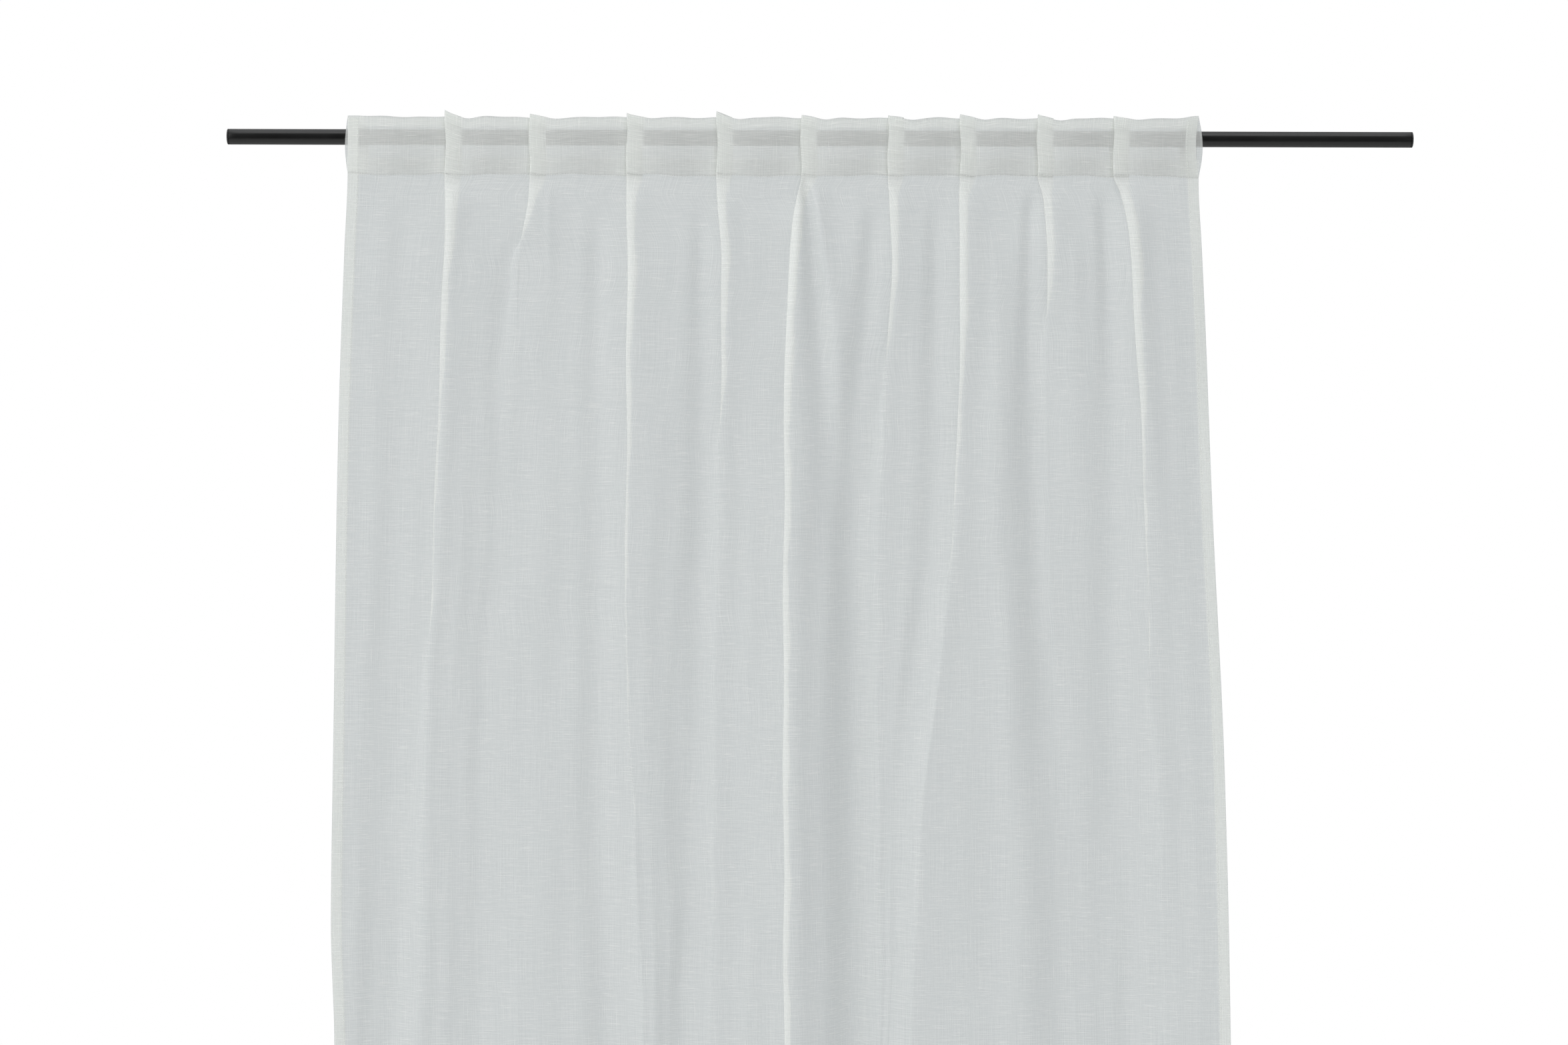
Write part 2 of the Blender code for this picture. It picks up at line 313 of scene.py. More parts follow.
def smooth_track(stations, drop):
    """The stations' values at one drop. The first value of each station is its drop. The curve through
    them has no corners and goes past none of them."""
    table = np.array(stations, float)
    at, values = table[:, 0], table[:, 1:]
    if drop <= at[0]:
        return values[0]
    if drop >= at[-1]:
        return values[-1]
    slopes = np.diff(values, axis=0) / np.diff(at)[:, None]
    tangents = np.zeros_like(values)
    same_way = slopes[:-1] * slopes[1:] > 0
    mean = 2 * slopes[:-1] * slopes[1:] / np.where(same_way, slopes[:-1] + slopes[1:], 1)
    tangents[1:-1] = np.where(same_way, mean, 0)
    i = int(np.searchsorted(at, drop) - 1)
    span = at[i + 1] - at[i]
    t = (drop - at[i]) / span
    return (values[i] * (1 + 2 * t) * (1 - t) ** 2 + tangents[i] * span * t * (1 - t) ** 2
            + values[i + 1] * t * t * (3 - 2 * t) + tangents[i + 1] * span * t * t * (t - 1))


def ease(value, low, high):
    """0 below low, 1 above high, smooth in between."""
    t = np.clip((value - low) / (high - low), 0, 1)
    return t * t * (3 - 2 * t)


def blurred(values, sigma):
    """Values along the cloth, evened out over a length sigma. Both ends keep their place."""
    reach = int(math.ceil(3 * sigma / SAMPLE))
    offsets = np.arange(-reach, reach + 1) * SAMPLE
    kernel = np.exp(-0.5 * (offsets / sigma) ** 2)
    before = 2 * values[0] - values[reach:0:-1]
    after = 2 * values[-1] - values[-2 : -reach - 2 : -1]
    return np.convolve(np.concatenate([before, values, after]), kernel / kernel.sum(), "valid")


# ---------------------------------------------------------------- the cloth's shape


def cloth_lengths():
    """Where the pleats' corners lie along the cloth: for each pleat the start and end of its back turn,
    then those of its front turn. The last value is the cloth's right edge."""
    corners, at, left = [], 0.0, FOLD_X[0]
    for fold_x in FOLD_X[1:]:
        at += fold_x + TUCK - left
        back_end = at + TURN_DEPTH
        front_start = back_end + TUCK
        front_end = front_start + (LAYER_TURNED - LAYER_FRONT)
        corners.append((at, back_end, front_start, front_end))
        at, left = front_end, fold_x
    return corners, at + RIGHT_X - left


CORNERS, CLOTH_WIDTH = cloth_lengths()
ACROSS = np.arange(0, CLOTH_WIDTH + SAMPLE / 2, SAMPLE)


def fold_stations(number):
    """A pleat's stations, with the heading's flat Z before them."""
    heading = (0.0, FOLD_X[number + 1], TUCK, LAYER_FRONT, LAYER_BACK)
    return (heading, *FOLDS[number])


def path_corners(drop, height):
    """The corners (distance along the cloth, x, y) of the cloth's path at one level. height is 0 at the
    seam and below it, and 1 at the heading's top."""
    opened = ease(drop, 0.0, 0.25)
    left = smooth_track(LEFT_EDGE, drop)
    points = [(0.0, left[0], left[1])]
    curve = 0.15 + 0.75 * ease(drop, 0.0, 0.15)
    for number, corners in enumerate(CORNERS):
        ridge, tucked, front, back = smooth_track(fold_stations(number), drop)
        # The pleats' edges waver a little up the heading.
        waver = 0.0016 * math.sin(math.pi * height) * math.sin(2.1 * number + 4 * height)
        # Below it they wander too, and more cloth is tucked behind them in one place than in another.
        free = ease(drop, 0.02, 0.12)
        ridge += 0.0009 * free * math.sin(27 * drop + 2.3 * number)
        uneven = 0.0016 * math.sin(37 * drop + 1.3 * number) + 0.0010 * math.sin(83 * drop + 2 * number)
        tucked += free * uneven
        ridge, valley = ridge + waver, ridge + tucked + waver * 0.5
        depth = back - front
        turned_back = back - (TURN_DEPTH * (1 - opened) + 0.12 * depth * opened)
        turned_front = back - (TURN_DEPTH * (1 - opened) + 0.85 * depth * opened)
        last_s, last_x, last_y = points[-1]
        # The tread runs from the last ridge back to this valley, flat at first and steeper at its end.
        for share in np.linspace(0, 1, 10)[1:-1]:
            fall = (1 - curve) * share + curve * share**2.2
            points.append((last_s + (corners[0] - last_s) * share, last_x + (valley - last_x) * share,
                           last_y + (back - last_y) * fall))
        points += [(corners[0], valley, back), (corners[1], valley, turned_back),
                   (corners[2], ridge, turned_front), (corners[3], ridge, front)]
    right = smooth_track(RIGHT_EDGE, drop)
    points.append((CLOTH_WIDTH, right[0], right[1]))
    return np.array(points)


def near_ridge():
    """1 on each pleat's ridge, falling to 0 between the pleats."""
    near = np.zeros_like(ACROSS)
    for corners in CORNERS:
        middle = (corners[2] + corners[3]) / 2
        near = np.maximum(near, np.exp(-(((ACROSS - middle) / 0.016) ** 2)))
    return near


NEAR_RIDGE = near_ridge()

# For each of nine slow waves in the cloth, where it starts across and down
WAVE_STARTS = np.random.default_rng(7).uniform(0, 2 * math.pi, (9, 2))


def undulation(drop):
    """Slow, shallow unevenness of cloth that hangs free."""
    total = np.zeros_like(ACROSS)
    for i, (phase, turn) in enumerate(WAVE_STARTS):
        across = 0.045 + 0.017 * i
        down = 0.55 - 0.035 * i
        drift = 0.9 * math.sin(2 * math.pi * drop / down + turn)
        total += np.sin(2 * math.pi * ACROSS / across + phase + drift)
    return 0.00032 * total * ease(drop, 0.0, 0.12)


def deepening(drop):
    """How much deeper the folds are lower down, where the cloth takes up its width in them."""
    return 1 + 0.25 * ease(drop, 0.25, 1.0) + 0.25 * ease(drop, 1.1, FULL_DROP)


def face_path(drop, height=0.0):
    """x and y of the face ply along the whole cloth at one level."""
    s, x, y = path_corners(drop, height).T
    x = np.interp(ACROSS, s, x)
    y = np.interp(ACROSS, s, y)
    for swell in SWELLS:
        middle, rise, wide_left, wide_right = smooth_track(swell, drop)
        if abs(rise) > 1e-5:
            away = x - middle
            y -= rise * np.exp(-((away / np.where(away < 0, wide_left, wide_right)) ** 2))
    # Each folded ridge is a soft roll, so its edge turns towards the left.
    for number in range(len(FOLDS)):
        ridge, tucked = smooth_track(fold_stations(number), drop)[:2]
        roll = ROLL_SHARE * max(0.0, tucked) * ease(drop, 0.0, 0.05)
        away = x - ridge - 0.010
        y -= roll * np.exp(-((away / np.where(away < 0, 0.008, 0.022)) ** 2))
    y = MIDDLE_Y + (y - MIDDLE_Y) * deepening(drop)
    # The ridges stay crisper than the cloth between them.
    opened = ease(drop, 0.0, 0.40)
    sharp = 0.0010 + 0.0030 * opened
    soft = 0.0010 + 0.0085 * opened
    x = blurred(x, sharp) * NEAR_RIDGE + blurred(x, soft) * (1 - NEAR_RIDGE)
    y = blurred(y, sharp) * NEAR_RIDGE + blurred(y, soft) * (1 - NEAR_RIDGE)
    return x, y + undulation(drop)


def top_wave():
    """How far the heading's top edge stands above its level, along the cloth."""
    wave = 0.0008 + 0.0006 * np.sin(ACROSS * 61) + 0.0004 * np.sin(ACROSS * 143 + 1)
    for corners, peak in zip(CORNERS, PLEAT_PEAKS):
        past = ACROSS - corners[3]
        turned = np.clip((ACROSS - corners[1]) / (corners[2] - corners[1]), 0, 1)
        falling = peak * np.exp(-np.clip(past, 0, None) / 0.013)
        dip = 0.0030 * np.exp(-(((past - 0.030) / 0.014) ** 2))
        wave += np.where(past < 0, peak * turned * (ACROSS > corners[1]), falling - dip)
    wave += 0.0040 * np.exp(-(((CLOTH_WIDTH - ACROSS - 0.004) / 0.022) ** 2))
    return blurred(wave, 0.0012)


def seam_wave():
    """How far the heading's seam stands above its level, along the cloth."""
    wave = 0.0010 * np.sin(ACROSS * 47 + 2) + 0.0005 * np.sin(ACROSS * 118)
    for corners in CORNERS:
        wave += 0.0016 * np.exp(-(((ACROSS - corners[3]) / 0.010) ** 2))
    return wave


def pocket_gap():
    """The room between the heading's plies, along the cloth: little at a pleat, most between pleats."""
    gap = np.full_like(ACROSS, PLY_GAP)
    starts = [0.0] + [corners[3] for corners in CORNERS]
    ends = [corners[0] for corners in CORNERS] + [CLOTH_WIDTH]
    for start, end in zip(starts, ends):
        share = np.clip((ACROSS - start) / (end - start), 0, 1)
        gap += POCKET_GAP * np.sin(math.pi * share) ** 2
    return gap


def openness():
    """0 where the pleats press the heading's plies together, up to 1 in between, along the cloth."""
    gap = pocket_gap()
    return ((gap - PLY_GAP) / (gap.max() - PLY_GAP)) ** 0.6


def normals_of(x, y):
    """Unit normals of a path, towards the cloth's back."""
    dx, dy = np.gradient(x), np.gradient(y)
    length = np.hypot(dx, dy)
    return -dy / length, dx / length


class Level:
    """One mesh row: the cloth's length down to it, the whole cloth's points across, and how far across
    the flat cloth each point is. Every row is given the whole flat width. The folds below the heading
    take up less than that, so the threads lie closer together there."""

    def __init__(self, down, x, y, z, part):
        self.down, self.x, self.y, self.z, self.part = down, x, y, z, part
        self.run = np.concatenate([[0], np.cumsum(np.hypot(np.diff(x), np.diff(y)))])
        self.flat = self.run * CLOTH_WIDTH / self.run[-1]

    def inward(self, distance, side):
        """Where along the cloth a distance from a side edge lies, measured over the folds."""
        return np.interp(distance if side == "left" else self.run[-1] - distance, self.run, ACROSS)

    def at(self, s):
        """The points at distances s along the cloth."""
        return np.stack([np.interp(s, ACROSS, axis) for axis in (self.x, self.y, self.z)], -1)


def cloth_levels(settings):
    """Every mesh row of the cloth, from its turned-in raw edge in the pocket, up the heading's back ply,
    over the top, down the front to the bottom edge, and up the hem's back ply."""
    top, seam, gap = top_wave(), seam_wave(), pocket_gap()
    belly = openness()
    edge_right = ease(ACROSS, CLOTH_WIDTH - 0.030, CLOTH_WIDTH)
    edge_left = 1 - ease(ACROSS, 0.0, 0.020)
    heading_rows = round((TOP_Z - SEAM_Z) / settings.heading_row)
    faces = {}

    def heading_level(down, row, ply, part):
        """row 0 is the top and heading_rows the seam; ply is 0 for the face and 1 for the back."""
        share = row / heading_rows
        height = 1 - share
        if row not in faces:
            faces[row] = face_path(0.0, height)
        x, y = faces[row]
        across, towards_back = normals_of(x, y)
        room = SEAM_GAP + (gap - SEAM_GAP) * math.sin(math.pi * min(1.0, max(0.0, share))) ** 0.5
        bulge = math.sin(math.pi * share) * np.array([-0.0034, 0.0054])
        x = x + ply * room * across + edge_right * (bulge[0] * (1 - ply) + bulge[1] * ply)
        x = x - edge_left * ply * 0.0035 * math.sin(math.pi * share)
        # Round the rod the face bellies out between the pleats, and the tabs hold the back ply flat.
        y = y + ply * room * towards_back - (1 - ply) * BELLY * belly * math.sin(math.pi * height)
        z = (TOP_Z + top) * height + (SEAM_Z + seam) * share
        return Level(down, x, y, z, part)

    levels = []
    depth = TOP_Z - SEAM_Z
    turned_rows = round(TURN_IN / settings.heading_row)
    down = -TURN_IN
    for row in range(heading_rows - turned_rows, heading_rows):
        levels.append(heading_level(down, row, 0.55, "turned in"))
        down += settings.heading_row
    down = 0.0
    for row in range(heading_rows, 0, -1):
        levels.append(heading_level(down, row, 1.0, "back"))
        down += depth / heading_rows
    for turn in (0.85, 0.5, 0.15):
        level = heading_level(down, 0, turn, "top")
        level.z = level.z + 0.0006 * (1 - abs(turn - 0.5) * 2)
        levels.append(level)
        down += 0.0004
    for row in range(1, heading_rows + 1):
        down += depth / heading_rows
        levels.append(heading_level(down, row, 0.0, "face heading"))

    panel = np.concatenate([np.arange(0.004, 0.06, 0.004),
                            np.arange(0.06, PANEL_DROP, settings.panel_row),
                            np.linspace(PANEL_DROP, FULL_DROP, 10)])
    seam_down = down
    bottom = 0.0010 * np.sin(ACROSS * 23) + 0.0006 * np.sin(ACROSS * 71 + 1)
    hem_levels = []
    for drop in panel:
        x, y = face_path(drop)
        z = SEAM_Z - drop + seam * (1 - ease(drop, 0.0, 0.05))
        z = z + bottom * ease(drop, FULL_DROP - 0.3, FULL_DROP)
        levels.append(Level(seam_down + drop, x, y, z, "face"))
        if drop >= PANEL_DROP - 1e-6:
            across, towards_back = normals_of(x, y)
            share = (drop - PANEL_DROP) / (HEM_Z - BOTTOM_Z)
            room = SEAM_GAP + (HEM_GAP - SEAM_GAP) * math.sin(math.pi * min(share, 1.0)) ** 0.5
            hem_levels.append(Level(seam_down + 2 * FULL_DROP - drop, x + room * across,
                                    y + room * towards_back, z, "hem"))
    return levels + hem_levels[::-1]


def strip_cuts(levels):
    """For each level, where along the cloth each tab's middle lies: the ends of the strips."""
    cuts = np.zeros((len(levels), SECTION_COUNT))
    for row, level in enumerate(levels):
        for tab, x in enumerate(TAB_X[1:]):
            before = np.nonzero(level.x < x)[0][-1]
            if before + 1 < len(ACROSS):
                share = (x - level.x[before]) / (level.x[before + 1] - level.x[before])
                cuts[row, tab] = ACROSS[before] + share * SAMPLE
            else:
                cuts[row, tab] = CLOTH_WIDTH
    # A fold that moves past the tab's line would make the cut jump, so the cuts are evened out downwards.
    reach = 9
    kernel = np.exp(-0.5 * (np.arange(-reach, reach + 1) / 3.0) ** 2)
    padded = np.pad(cuts, ((reach, reach), (0, 0)), "edge")
    even = np.array([np.convolve(column, kernel / kernel.sum(), "valid") for column in padded.T]).T
    left = np.zeros((len(levels), 1))
    return np.hstack([left, even, left + CLOTH_WIDTH])


def cloth_columns(count):
    """Places along the cloth for the mesh's columns, closer together where the pleats turn. The same
    columns run down the whole cloth, so each fold's edge follows one of them."""
    density = np.ones_like(ACROSS)
    for corners in CORNERS:
        for middle in ((corners[0] + corners[1]) / 2, (corners[2] + corners[3]) / 2):
            density += 1.6 * np.exp(-(((ACROSS - middle) / 0.007) ** 2))
    total = np.concatenate([[0], np.cumsum((density[1:] + density[:-1]) / 2)])
    return np.interp(np.linspace(0, total[-1], count + 1), total, ACROSS)


def grid_quads(points):
    """The corners of each face of a grid of points, (rows, columns, 3)."""
    rows, columns = points.shape[:2]
    index = np.arange(rows * columns).reshape(rows, columns)
    return np.stack([index[:-1, :-1], index[1:, :-1], index[1:, 1:], index[:-1, 1:]], axis=-1)


def quad_mesh(name, points, quads, uv):
    """A smooth mesh of four-sided faces, with a UV map in metres of cloth."""
    mesh = bpy.data.meshes.new(name)
    mesh.from_pydata(points.tolist(), [], quads.tolist())
    layer = mesh.uv_layers.new(name="Cloth")
    layer.data.foreach_set("uv", uv[quads.ravel()].astype(np.float32).ravel())
    mesh.shade_smooth()
    mesh.update()
    return mesh


def grid_mesh(name, points, uv):
    """A mesh of a whole grid of points."""
    return quad_mesh(name, points.reshape(-1, 3), grid_quads(points).reshape(-1, 4), uv.reshape(-1, 2))


def add_piece(name, mesh, material):
    """A new object at the origin, in the scene."""
    obj = bpy.data.objects.new(name, mesh)
    bpy.context.scene.collection.objects.link(obj)
    mesh.materials.clear()
    mesh.materials.append(material)
    return obj


def carry(obj, strip):
    """Makes a piece of strip number strip, from 0, move with its section if it is an end strip. A piece of a
    middle strip only has its place baked into its mesh and is tied to no body.
    """
    if strip == 0:
        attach(obj, "section_01")
    elif strip == SECTION_COUNT:
        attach(obj, f"section_{SECTION_COUNT:02d}")
    else:
        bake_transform(obj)


_made = {}


def face_levels():
    """The levels of the face ply, from the heading's top to the bottom edge."""
    return [level for level in cloth()[0] if level.part.startswith("face")]


def cloth():
    """The cloth's levels and cuts, worked out once."""
    if "levels" not in _made:
        _made["levels"] = cloth_levels(bpy.context.scene.curtain_cloth)
        _made["cuts"] = strip_cuts(_made["levels"])
    return _made["levels"], _made["cuts"]


# ---------------------------------------------------------------- finishes


def new_material(name):
    """A new material and its node tree."""
    material = bpy.data.materials.new(name)
    material.use_nodes = True
    return material, material.node_tree


def patchy_black(name, patches, dark, light, rough, grain, bump):
    """A black skin whose shade and gloss change a little from patch to patch, over a fine grain. rough is
    its lowest and highest roughness; bump is the grain's strength and depth."""
    material, tree = new_material(name)
    shader = tree.nodes["Principled BSDF"]
    place = add_node(tree, "ShaderNodeTexCoord").outputs["Object"]
    kind, grain_inputs, output = grain
    relief = add_node(tree, kind, {"Vector": place, **grain_inputs}).outputs[output]
    patch = add_node(tree, "ShaderNodeTexNoise", {"Vector": place, **patches}).outputs["Fac"]
    shade = add_node(tree, "ShaderNodeMix", {"Factor": patch, "A": linear(dark), "B": linear(light)},
                     data_type="RGBA")
    gloss = add_node(tree, "ShaderNodeMapRange", {"Value": patch, "From Min": 0.3, "From Max": 0.7,
                                                  "To Min": rough[0], "To Max": rough[1]})
    surface = add_node(tree, "ShaderNodeBump", {"Height": relief, "Strength": bump[0], "Distance": bump[1]})
    tree.links.new(shade.outputs["Result"], shader.inputs["Base Color"])
    tree.links.new(gloss.outputs["Result"], shader.inputs["Roughness"])
    tree.links.new(surface.outputs[0], shader.inputs["Normal"])
    return material


def slub_voile():
    """Woven slub voile: a sheer plain weave whose threads vary in thickness. The eye sees a pale, milky,
    matt cloth that glows where light comes through it, with irregular lighter threads both ways."""
    name = "slub_voile_woven_polyester"
    if name in bpy.data.materials:
        return bpy.data.materials[name]
    settings = bpy.context.scene.curtain_cloth
    material, tree = new_material(name)
    tree.nodes.clear()
    uv = add_node(tree, "ShaderNodeUVMap", uv_map="Cloth").outputs["UV"]
    pitch = settings.thread_pitch

    def stretched(across, down, detail=2.0, seed=0.0):
        """Noise whose grain is across by down metres."""
        placed = add_node(tree, "ShaderNodeMapping", {"Vector": uv, "Scale": (1 / across, 1 / down, 1.0),
                                                      "Location": (seed, seed * 0.7, 0.0)})
        return add_node(tree, "ShaderNodeTexNoise", {"Vector": placed.outputs[0], "Scale": 1.0,
                                                     "Detail": detail, "Roughness": 0.6},
                        noise_dimensions="2D").outputs["Fac"]

    def mapped(value, low, high, to_low, to_high):
        """A value's range, moved to another range."""
        return add_node(tree, "ShaderNodeMapRange", {"Value": value, "From Min": low, "From Max": high,
                                                     "To Min": to_low, "To Max": to_high}).outputs["Result"]

    def maths(operation, a, b):
        """One sum of two values."""
        return add_node(tree, "ShaderNodeMath", {0: a, 1: b}, operation=operation).outputs[0]

    # Threads of a real voile lie about 0.5 mm apart. The pitch here is coarser, so that they show.
    warp = stretched(pitch, 0.110, seed=3.0)
    weft = stretched(0.070, pitch, seed=11.0)
    # Slubs: thick stretches of yarn, 20 to 80 mm long
    warp_slub = mapped(stretched(pitch, 0.050, 1.0, seed=23.0), 0.66, 0.74, 0.0, 0.8)
    weft_slub = mapped(stretched(0.034, pitch * 0.9, 1.0, seed=37.0), 0.62, 0.70, 0.0, 1.0)
    cloudy = stretched(0.060, 0.080, 3.0, seed=51.0)
    # The open plain weave itself, as two fine bands crossing
    bands = []
    for direction in ("X", "Y"):
        wave = add_node(tree, "ShaderNodeTexWave",
                        {"Vector": uv, "Scale": 0.314 / pitch, "Distortion": 0.6, "Detail": 1.0,
                         "Detail Scale": 0.02}, bands_direction=direction)
        bands.append(wave.outputs["Fac"])
    weave = maths("MAXIMUM", bands[0], bands[1])

    slubs = maths("MAXIMUM", warp_slub, weft_slub)
    threads = maths("ADD", mapped(warp, 0.25, 0.75, -0.5, 0.5), mapped(weft, 0.25, 0.75, -0.5, 0.5))
    open_weave = maths("ADD", maths("MULTIPLY", threads, 0.11), mapped(weave, 0.0, 1.0, -0.06, 0.04))
    with_slubs = maths("ADD", open_weave, maths("MULTIPLY", slubs, 0.13))
    alpha = add_node(tree, "ShaderNodeMath", {0: with_slubs, 1: settings.opacity}, operation="ADD",
                     use_clamp=True).outputs[0]

    tint = add_node(tree, "ShaderNodeMix", {"Factor": mapped(cloudy, 0.3, 0.7, 0.0, 1.0),
                                            "A": (*settings.colour, 1.0), "B": linear("F2F4F1")},
                    data_type="RGBA")
    base = add_node(tree, "ShaderNodeMix", {"Factor": maths("MULTIPLY", slubs, 0.5),
                                            "A": tint.outputs["Result"], "B": linear("F8F8F4")},
                    data_type="RGBA")
    # Painted shade: a point attribute darkens the turned plies towards a dark grey, most where the pleats
    # leave the heading's pocket open, standing in for the light that gets in there less.
    painted_shade = add_node(tree, "ShaderNodeAttribute", attribute_name="painted_shade").outputs["Fac"]
    base = add_node(tree, "ShaderNodeMix", {"Factor": maths("MULTIPLY", painted_shade, 0.30),
                                            "A": base.outputs["Result"], "B": linear("2E3230")},
                    data_type="RGBA")
    height = maths("ADD", maths("MULTIPLY", weave, 0.4), maths("ADD", threads, slubs))
    bump = add_node(tree, "ShaderNodeBump", {"Height": height, "Strength": 0.25, "Distance": 0.0003})
    rough = mapped(threads, -0.8, 0.8, 0.92, 0.78)
    face = add_node(tree, "ShaderNodeBsdfPrincipled",
                    {"Base Color": base.outputs["Result"], "Roughness": rough, "Normal": bump.outputs[0],
                     "IOR": 1.45, "Sheen Weight": 0.15, "Sheen Roughness": 0.5,
                     "Specular IOR Level": 0.25})
    through = add_node(tree, "ShaderNodeBsdfTranslucent", {"Color": base.outputs["Result"]})
    yarn = add_node(tree, "ShaderNodeMixShader", {0: 0.22, 1: face.outputs[0], 2: through.outputs[0]})
    hole = add_node(tree, "ShaderNodeBsdfTransparent")
    cover = add_node(tree, "ShaderNodeMixShader", {0: alpha, 1: hole.outputs[0], 2: yarn.outputs[0]})
    add_node(tree, "ShaderNodeOutputMaterial", {"Surface": cover.outputs[0]})
    return material


def sewing_thread():
    """Spun polyester thread: twisted and matt, so each stitch shows as a small, slightly ridged dash."""
    name = "spun_polyester_thread"
    if name in bpy.data.materials:
        return bpy.data.materials[name]
    material, tree = new_material(name)
    shader = tree.nodes["Principled BSDF"]
    place = add_node(tree, "ShaderNodeTexCoord").outputs["Object"]
    twist = add_node(tree, "ShaderNodeTexNoise", {"Vector": place, "Scale": 2500.0, "Detail": 2.0})
    shade = add_node(tree, "ShaderNodeMix", {"Factor": twist.outputs["Fac"], "A": linear("DADDD8"),
                                             "B": linear("F1F2EE")}, data_type="RGBA")
    bump = add_node(tree, "ShaderNodeBump", {"Height": twist.outputs["Fac"], "Strength": 0.4,
                                             "Distance": 0.00005})
    tree.links.new(shade.outputs["Result"], shader.inputs["Base Color"])
    tree.links.new(bump.outputs[0], shader.inputs["Normal"])
    shader.inputs["Roughness"].default_value = 0.75
    return material


def powder_coat():
    """Powder-coated steel tube: a baked matt black skin with a very fine orange peel, so highlights along
    the rod are soft and slightly grainy."""
    peel = ("ShaderNodeTexNoise", {"Scale": 1400.0, "Detail": 3.0, "Roughness": 0.55}, "Fac")
    return patchy_black("powder_coated_steel", {"Scale": 35.0, "Detail": 4.0}, "0C0C0C", "131312",
                        (0.30, 0.38), peel, (0.15, 0.00006))


def moulded_plug():
    """Injection-moulded polypropylene, spark-eroded mould: a slightly greyer, waxy black with a fine even
    grain."""
    grain = ("ShaderNodeTexVoronoi", {"Scale": 3200.0}, "Distance")
    return patchy_black("moulded_polypropylene", {"Scale": 180.0, "Detail": 3.0}, "141414", "212121",
                        (0.48, 0.60), grain, (0.3, 0.00005))


# ---------------------------------------------------------------- the pieces


# Painted shade: how strongly each part of the cloth that is turned over is darkened
PAINTED_SHADE_SHARE = {"turned in": 1.0, "back": 1.0, "top": 0.5, "hem": 0.6}


def strip_mesh(name, points, uv, painted_shade, inside):
    """A mesh of those faces of the cloth's grid that are inside one strip."""
    used, quads = np.unique(grid_quads(points)[inside], return_inverse=True)
    mesh = quad_mesh(name, points.reshape(-1, 3)[used], quads.reshape(-1, 4), uv.reshape(-1, 2)[used])
    # Each point's share of painted shade goes on the mesh as a point attribute.
    shade = mesh.attributes.new("painted_shade", "FLOAT", "POINT")
    shade.data.foreach_set("value", painted_shade.ravel()[used].astype(np.float32))
    return mesh


def cloth_strips(name, levels, cuts, columns):
    """Makes strips of cloth from tab to tab out of some of the cloth's levels. Neighbouring strips share
    the places of their borders' points, so at rest no gap shows. Gives each strip's object and its flat
    size."""
    s = cloth_columns(round(columns * CLOTH_WIDTH / COLUMN_SPAN))
    points = np.array([level.at(s) for level in levels])
    down = np.array([level.down for level in levels])
    across = np.array([np.interp(s, ACROSS, level.flat) for level in levels])
    uv = np.stack([across, np.repeat(down[:, None], len(s), axis=1)], axis=-1)
    # Painted shade: the turned plies are darkened where the pocket between two pleats stands open.
    shows = np.array([PAINTED_SHADE_SHARE.get(level.part, 0.0) for level in levels])
    painted_shade = shows[:, None] * np.interp(across, ACROSS, openness())
    flat_cuts = np.array([np.interp(cut, ACROSS, level.flat) for cut, level in zip(cuts, levels)])
    middles = (s[1:] + s[:-1]) / 2
    limits = (cuts[1:] + cuts[:-1]) / 2
    made = []
    for strip in range(SECTION_COUNT + 1):
        inside = (middles >= limits[:, strip, None]) & (middles < limits[:, strip + 1, None])
        strip_name = f"{name}_{strip + 1:02d}"
        obj = add_piece(strip_name, strip_mesh(strip_name, points, uv, painted_shade, inside), slub_voile())
        carry(obj, strip)
        width = float(np.mean(flat_cuts[:, strip + 1] - flat_cuts[:, strip]))
        made.append((obj, (width, float(down.max() - down.min()))))
    return made


class CURTAIN_OT_cloth(bpy.types.Operator):
    """Makes the voile as eleven strips, cut from tab to tab"""

    bl_idname = "curtain.cloth"
    bl_label = "Voile"

    def execute(self, context):
        settings = context.scene.curtain_cloth
        levels, cuts = cloth()
        for strip, (obj, flat) in enumerate(cloth_strips("voile_strip", levels, cuts, settings.columns)):
            if strip < SECTION_COUNT:
                number = f"{strip + 1:02d}"
                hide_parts(f"heading_{number}", f"panel_{number}", f"bottom_hem_{number}")
        return {"FINISHED"}


class CURTAIN_OT_stay(bpy.types.Operator):
    """Makes the stay, a third layer of voile inside the heading's top"""

    bl_idname = "curtain.stay"
    bl_label = "Heading stay"

    def execute(self, context):
        levels, cuts = cloth()
        inner = [row for row, level in enumerate(levels) if level.part == "face heading"]
        rows = round(STAY_DEPTH / context.scene.curtain_cloth.heading_row)
        inner = list(range(inner[0] - 1, inner[0] + rows))
        deeper = 0.45 * pocket_gap()
        stay = []
        for row in inner:
            level = levels[row]
            across, towards_back = normals_of(level.x, level.y)
            z = level.z - 0.0006 * (row == inner[0])
            stay.append(Level(level.down, level.x + deeper * across, level.y + deeper * towards_back, z,
                              "stay"))
        for obj, flat in cloth_strips("heading_stay", stay, cuts[inner], STAY_COLUMNS):
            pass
        return {"FINISHED"}


